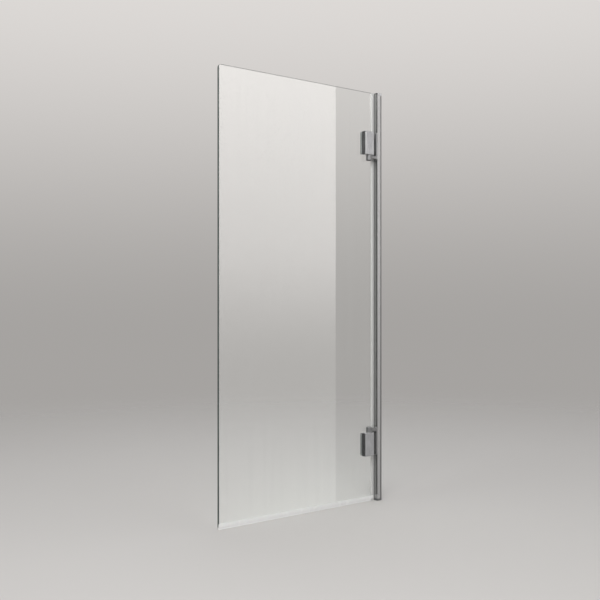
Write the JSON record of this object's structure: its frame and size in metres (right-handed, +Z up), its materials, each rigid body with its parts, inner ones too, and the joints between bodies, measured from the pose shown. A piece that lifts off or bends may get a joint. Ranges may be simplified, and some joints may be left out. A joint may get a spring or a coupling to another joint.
{
  "type": "bath screen",
  "caption": "Frameless clear-glass bath screen that pivots outward on two chrome clamp hinges bracketed off a slim wall profile, with clear edge seals.",
  "frame": {"origin": "on the wall, at the level of the bath's rim, in line with the middle of the glass's thickness", "axes": "+X into the wall, so the screen reaches to -X; -Y out to the room and +Y to the bath; +Z up"},
  "size_m": [0.7235, 0.033, 1.508],
  "materials": {
    "clear_glass": "clear toughened, polished bevelled edge",
    "polished_aluminium": "bright polished and anodised",
    "channel_aluminium": "satin mill finish",
    "chrome": "mirror chrome plate",
    "stainless_steel": "bright",
    "clear_seal": "clear soft vinyl",
    "gasket": "translucent grey, matt",
    "white_plastic": "moulded",
    "silver_plastic": "metallic coated moulding",
    "grey_plastic": "moulded"
  },
  "bodies": {
    "wall_side": {"wall_channel": "channel_aluminium", "adjusting_profile": "polished_aluminium", "cover_strip": "polished_aluminium", "top_cap": "silver_plastic", "foot_plug": "grey_plastic", "adjustment_screws": "stainless_steel", "upper_bracket": "chrome", "lower_bracket": "chrome", "bracket_screws": "stainless_steel", "pivot_pins": "stainless_steel", "set_screws": "stainless_steel"},
    "glass_leaf": {"glass_panel": "clear_glass", "side_seal": "clear_seal", "bottom_seal": "clear_seal", "upper_hinge_block": "chrome", "lower_hinge_block": "chrome", "pivot_bushes": "white_plastic", "outer_gaskets": "gasket", "inner_gaskets": "gasket", "clamp_plates": "chrome", "clamp_screws": "stainless_steel"}
  },
  "joints": [
    {"name": "screen_swing", "type": "hinge", "parent": "wall_side", "child": "glass_leaf", "pos_m": [-0.0595, -0.0145, 0.7655], "axis": [0, 0, 1], "range_deg": [0, 90]}
  ]
}
